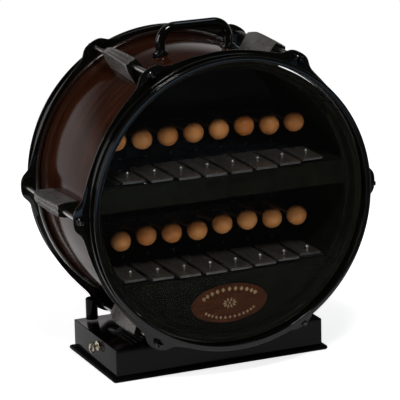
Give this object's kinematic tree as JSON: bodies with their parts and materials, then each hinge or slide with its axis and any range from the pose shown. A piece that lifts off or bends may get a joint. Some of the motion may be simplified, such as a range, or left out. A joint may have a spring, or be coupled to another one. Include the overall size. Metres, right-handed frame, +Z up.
{
  "type": "self-playing metallophone",
  "caption": "Upright drum-shaped case with a clear front head and two rows of metal bars, struck from above by electric ball mallets, on a box base with a key switch.",
  "frame": {"origin": "on the surface that the plinth stands on, midway between the drum's two hoops and between its sides", "axes": "+Z up, -Y towards the clear front head, +X to the right seen from the front"},
  "size_m": [0.4142, 0.2366, 0.4363],
  "materials": {
    "shell_wood": "high gloss lacquer",
    "hoop_black": "gloss",
    "clear_film": "clear film",
    "dark_film": "satin film",
    "lug_grey": "satin",
    "board_black": "matte black paint",
    "plaque_wood": "gloss lacquer",
    "bar_metal": "dark satin",
    "felt": "matte felt",
    "steel": "bright",
    "coil_copper": "satin",
    "nickel": "polished",
    "base_lacquer": "high gloss lacquer",
    "circuit": "satin",
    "ball_wood": "satin varnish"
  },
  "bodies": {
    "instrument": {"drum_shell": "shell_wood", "front_head": "clear_film", "rear_head": "dark_film", "front_hoop": "hoop_black", "rear_hoop": "hoop_black", "handle": "hoop_black", "base_box": "base_lacquer", "base_plinth": "base_lacquer", "peg_left": "base_lacquer", "peg_right": "base_lacquer", "key_lock": "nickel", "controller_board": "circuit", "upper_shelf": "board_black", "lower_shelf": "board_black", "plaque": "plaque_wood", "lug_1": "lug_grey", "lug_2": "lug_grey", "lug_3": "lug_grey", "lug_4": "lug_grey", "lug_5": "lug_grey", "lug_6": "lug_grey", "bar_frame_upper": "felt", "axle_upper": "steel", "magnet_bank_upper": "coil_copper", "bar_upper_1": "bar_metal", "bar_upper_2": "bar_metal", "bar_upper_3": "bar_metal", "bar_upper_4": "bar_metal", "bar_upper_5": "bar_metal", "bar_upper_6": "bar_metal", "bar_upper_7": "bar_metal", "bar_upper_8": "bar_metal", "bar_frame_lower": "felt", "axle_lower": "steel", "magnet_bank_lower": "coil_copper", "bar_lower_1": "bar_metal", "bar_lower_2": "bar_metal", "bar_lower_3": "bar_metal", "bar_lower_4": "bar_metal", "bar_lower_5": "bar_metal", "bar_lower_6": "bar_metal", "bar_lower_7": "bar_metal", "bar_lower_8": "bar_metal"},
    "key": {"key": "nickel"},
    "mallet_upper_1": {"mallet_upper_1": "ball_wood"},
    "mallet_upper_2": {"mallet_upper_2": "ball_wood"},
    "mallet_upper_3": {"mallet_upper_3": "ball_wood"},
    "mallet_upper_4": {"mallet_upper_4": "ball_wood"},
    "mallet_upper_5": {"mallet_upper_5": "ball_wood"},
    "mallet_upper_6": {"mallet_upper_6": "ball_wood"},
    "mallet_upper_7": {"mallet_upper_7": "ball_wood"},
    "mallet_upper_8": {"mallet_upper_8": "ball_wood"},
    "mallet_lower_1": {"mallet_lower_1": "ball_wood"},
    "mallet_lower_2": {"mallet_lower_2": "ball_wood"},
    "mallet_lower_3": {"mallet_lower_3": "ball_wood"},
    "mallet_lower_4": {"mallet_lower_4": "ball_wood"},
    "mallet_lower_5": {"mallet_lower_5": "ball_wood"},
    "mallet_lower_6": {"mallet_lower_6": "ball_wood"},
    "mallet_lower_7": {"mallet_lower_7": "ball_wood"},
    "mallet_lower_8": {"mallet_lower_8": "ball_wood"}
  },
  "joints": [
    {"name": "key_turn", "type": "hinge", "parent": "instrument", "child": "key", "pos_m": [-0.1425, -0.0014, 0.0301], "axis": [1, 0, 0], "range_deg": [0, 90]},
    {"name": "mallet_upper_1_swing", "type": "hinge", "parent": "instrument", "child": "mallet_upper_1", "pos_m": [-0.12145, 0.07, 0.2938], "axis": [1, 0, 0], "range_deg": [0, 14.4], "stiffness_Nm_per_rad": 0.03, "springref_deg": -28.65},
    {"name": "mallet_upper_2_swing", "type": "hinge", "parent": "instrument", "child": "mallet_upper_2", "pos_m": [-0.08675, 0.07, 0.2938], "axis": [1, 0, 0], "range_deg": [0, 13.2], "stiffness_Nm_per_rad": 0.03, "springref_deg": -28.65},
    {"name": "mallet_upper_3_swing", "type": "hinge", "parent": "instrument", "child": "mallet_upper_3", "pos_m": [-0.05205, 0.07, 0.2938], "axis": [1, 0, 0], "range_deg": [0, 13.3], "stiffness_Nm_per_rad": 0.03, "springref_deg": -28.65},
    {"name": "mallet_upper_4_swing", "type": "hinge", "parent": "instrument", "child": "mallet_upper_4", "pos_m": [-0.01735, 0.07, 0.2938], "axis": [1, 0, 0], "range_deg": [0, 13.3], "stiffness_Nm_per_rad": 0.03, "springref_deg": -28.65},
    {"name": "mallet_upper_5_swing", "type": "hinge", "parent": "instrument", "child": "mallet_upper_5", "pos_m": [0.01735, 0.07, 0.2938], "axis": [1, 0, 0], "range_deg": [0, 13.3], "stiffness_Nm_per_rad": 0.03, "springref_deg": -28.65},
    {"name": "mallet_upper_6_swing", "type": "hinge", "parent": "instrument", "child": "mallet_upper_6", "pos_m": [0.05205, 0.07, 0.2938], "axis": [1, 0, 0], "range_deg": [0, 13.8], "stiffness_Nm_per_rad": 0.03, "springref_deg": -28.65},
    {"name": "mallet_upper_7_swing", "type": "hinge", "parent": "instrument", "child": "mallet_upper_7", "pos_m": [0.08675, 0.07, 0.2938], "axis": [1, 0, 0], "range_deg": [0, 12.4], "stiffness_Nm_per_rad": 0.03, "springref_deg": -28.65},
    {"name": "mallet_upper_8_swing", "type": "hinge", "parent": "instrument", "child": "mallet_upper_8", "pos_m": [0.12145, 0.07, 0.2938], "axis": [1, 0, 0], "range_deg": [0, 12.3], "stiffness_Nm_per_rad": 0.03, "springref_deg": -28.65},
    {"name": "mallet_lower_1_swing", "type": "hinge", "parent": "instrument", "child": "mallet_lower_1", "pos_m": [-0.12145, 0.07, 0.1694], "axis": [1, 0, 0], "range_deg": [0, 13.2], "stiffness_Nm_per_rad": 0.03, "springref_deg": -28.65},
    {"name": "mallet_lower_2_swing", "type": "hinge", "parent": "instrument", "child": "mallet_lower_2", "pos_m": [-0.08675, 0.07, 0.1694], "axis": [1, 0, 0], "range_deg": [0, 14.7], "stiffness_Nm_per_rad": 0.03, "springref_deg": -28.65},
    {"name": "mallet_lower_3_swing", "type": "hinge", "parent": "instrument", "child": "mallet_lower_3", "pos_m": [-0.05205, 0.07, 0.1694], "axis": [1, 0, 0], "range_deg": [0, 14.1], "stiffness_Nm_per_rad": 0.03, "springref_deg": -28.65},
    {"name": "mallet_lower_4_swing", "type": "hinge", "parent": "instrument", "child": "mallet_lower_4", "pos_m": [-0.01735, 0.07, 0.1694], "axis": [1, 0, 0], "range_deg": [0, 13.5], "stiffness_Nm_per_rad": 0.03, "springref_deg": -28.65},
    {"name": "mallet_lower_5_swing", "type": "hinge", "parent": "instrument", "child": "mallet_lower_5", "pos_m": [0.01735, 0.07, 0.1694], "axis": [1, 0, 0], "range_deg": [0, 15.5], "stiffness_Nm_per_rad": 0.03, "springref_deg": -28.65},
    {"name": "mallet_lower_6_swing", "type": "hinge", "parent": "instrument", "child": "mallet_lower_6", "pos_m": [0.05205, 0.07, 0.1694], "axis": [1, 0, 0], "range_deg": [0, 15.9], "stiffness_Nm_per_rad": 0.03, "springref_deg": -28.65},
    {"name": "mallet_lower_7_swing", "type": "hinge", "parent": "instrument", "child": "mallet_lower_7", "pos_m": [0.08675, 0.07, 0.1694], "axis": [1, 0, 0], "range_deg": [0, 14.7], "stiffness_Nm_per_rad": 0.03, "springref_deg": -28.65},
    {"name": "mallet_lower_8_swing", "type": "hinge", "parent": "instrument", "child": "mallet_lower_8", "pos_m": [0.12145, 0.07, 0.1694], "axis": [1, 0, 0], "range_deg": [0, 14.4], "stiffness_Nm_per_rad": 0.03, "springref_deg": -28.65}
  ]
}
